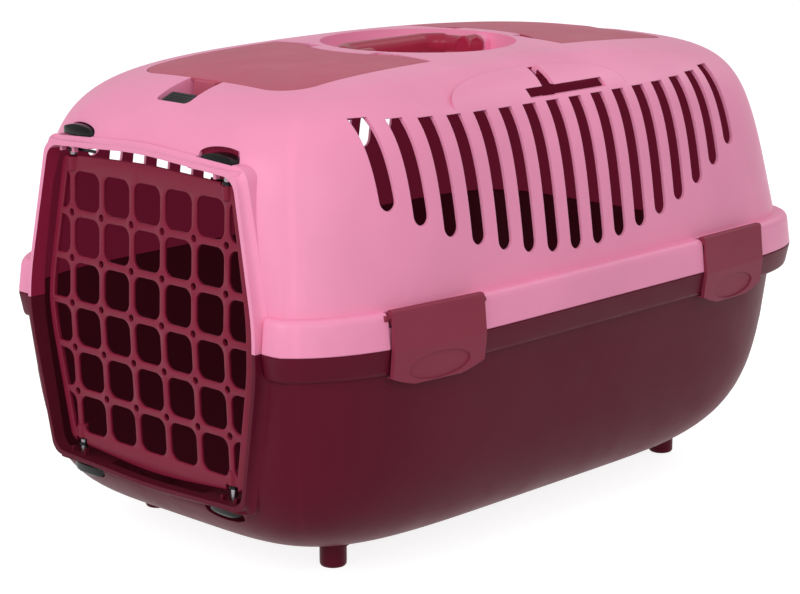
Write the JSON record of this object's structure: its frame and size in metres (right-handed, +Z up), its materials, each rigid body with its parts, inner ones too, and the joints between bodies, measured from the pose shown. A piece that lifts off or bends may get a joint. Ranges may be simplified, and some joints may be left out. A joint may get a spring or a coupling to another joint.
{
  "type": "pet transport carrier",
  "caption": "Two-part plastic pet carrier with a swinging grille door, slotted side vents, a folding roof handle in a round recess, storage lids, side clips and short feet.",
  "frame": {"origin": "centre of the bounding box at floor level, under the feet", "axes": "+Z up, +Y from the door towards the back, +X to the right seen from the front"},
  "size_m": [0.3698, 0.55, 0.3394],
  "materials": {
    "tub_plastic": "fine satin grain",
    "hood_plastic": "fine satin grain",
    "door_plastic": "soft gloss",
    "handle_plastic": "soft gloss",
    "lid_plastic": "satin",
    "clip_plastic": "satin",
    "black_plastic": "gloss",
    "pin_steel": "dull"
  },
  "bodies": {
    "base": {"lower_shell": "tub_plastic", "upper_shell": "hood_plastic", "foot_front_left": "tub_plastic", "foot_front_right": "tub_plastic", "foot_rear_left": "tub_plastic", "foot_rear_right": "tub_plastic"},
    "door_body": {"door": "door_plastic"},
    "bolt_top_left_body": {"bolt_cap_top_left": "black_plastic", "bolt_pin_top_left": "pin_steel", "bolt_spring_top_left": "black_plastic"},
    "bolt_top_right_body": {"bolt_cap_top_right": "black_plastic", "bolt_pin_top_right": "pin_steel", "bolt_spring_top_right": "black_plastic"},
    "bolt_bottom_left_body": {"bolt_cap_bottom_left": "black_plastic", "bolt_pin_bottom_left": "pin_steel", "bolt_spring_bottom_left": "black_plastic"},
    "bolt_bottom_right_body": {"bolt_cap_bottom_right": "black_plastic", "bolt_pin_bottom_right": "pin_steel", "bolt_spring_bottom_right": "black_plastic"},
    "handle_body": {"handle": "handle_plastic"},
    "front_lid_body": {"front_lid": "lid_plastic"},
    "rear_lid_body": {"rear_lid": "lid_plastic"},
    "front_catch_body": {"front_catch": "black_plastic"},
    "rear_catch_body": {"rear_catch": "black_plastic"},
    "clip_front_left_body": {"clip_front_left": "clip_plastic"},
    "clip_front_right_body": {"clip_front_right": "clip_plastic"},
    "clip_rear_left_body": {"clip_rear_left": "clip_plastic"},
    "clip_rear_right_body": {"clip_rear_right": "clip_plastic"}
  },
  "joints": [
    {"name": "door_swing", "type": "hinge", "parent": "base", "child": "door_body", "pos_m": [0.08, -0.2604, 0.172], "axis": [0, 0, 1], "range_deg": [0, 115]},
    {"name": "bolt_top_left_slide", "type": "slide", "parent": "base", "child": "bolt_top_left_body", "axis": [0, 0, -1], "range_m": [0, 0.0032]},
    {"name": "bolt_top_right_slide", "type": "slide", "parent": "base", "child": "bolt_top_right_body", "axis": [0, 0, 1], "range_m": [0, 0.0032]},
    {"name": "bolt_bottom_left_slide", "type": "slide", "parent": "base", "child": "bolt_bottom_left_body", "axis": [0, 0, 1], "range_m": [0, 0.0032]},
    {"name": "bolt_bottom_right_slide", "type": "slide", "parent": "base", "child": "bolt_bottom_right_body", "axis": [0, 0, -1], "range_m": [0, 0.0032]},
    {"name": "handle_fold", "type": "hinge", "parent": "base", "child": "handle_body", "pos_m": [0, 0, 0.33], "axis": [0, 1, 0], "range_deg": [0, 180]},
    {"name": "front_lid_hinge", "type": "hinge", "parent": "base", "child": "front_lid_body", "pos_m": [0, -0.077, 0.3346], "axis": [-1, 0, 0], "range_deg": [0, 100]},
    {"name": "rear_lid_hinge", "type": "hinge", "parent": "base", "child": "rear_lid_body", "pos_m": [0, 0.077, 0.3346], "axis": [1, 0, 0], "range_deg": [0, 100]},
    {"name": "front_catch_slide", "type": "slide", "parent": "base", "child": "front_catch_body", "axis": [0, 1, 0], "range_m": [0, 0.005]},
    {"name": "rear_catch_slide", "type": "slide", "parent": "base", "child": "rear_catch_body", "axis": [0, -1, 0], "range_m": [0, 0.005]},
    {"name": "clip_front_left_hinge", "type": "hinge", "parent": "base", "child": "clip_front_left_body", "pos_m": [-0.17403, -0.16534, 0.1926], "axis": [-0.095, 0.9955, 0], "range_deg": [0, 90]},
    {"name": "clip_front_right_hinge", "type": "hinge", "parent": "base", "child": "clip_front_right_body", "pos_m": [0.17403, -0.16534, 0.1926], "axis": [-0.095, -0.9955, 0], "range_deg": [0, 90]},
    {"name": "clip_rear_left_hinge", "type": "hinge", "parent": "base", "child": "clip_rear_left_body", "pos_m": [-0.1772, 0.15187, 0.1926], "axis": [0.0192, 0.9998, 0], "range_deg": [0, 90]},
    {"name": "clip_rear_right_hinge", "type": "hinge", "parent": "base", "child": "clip_rear_right_body", "pos_m": [0.1772, 0.15187, 0.1926], "axis": [0.0192, -0.9998, 0], "range_deg": [0, 90]}
  ]
}
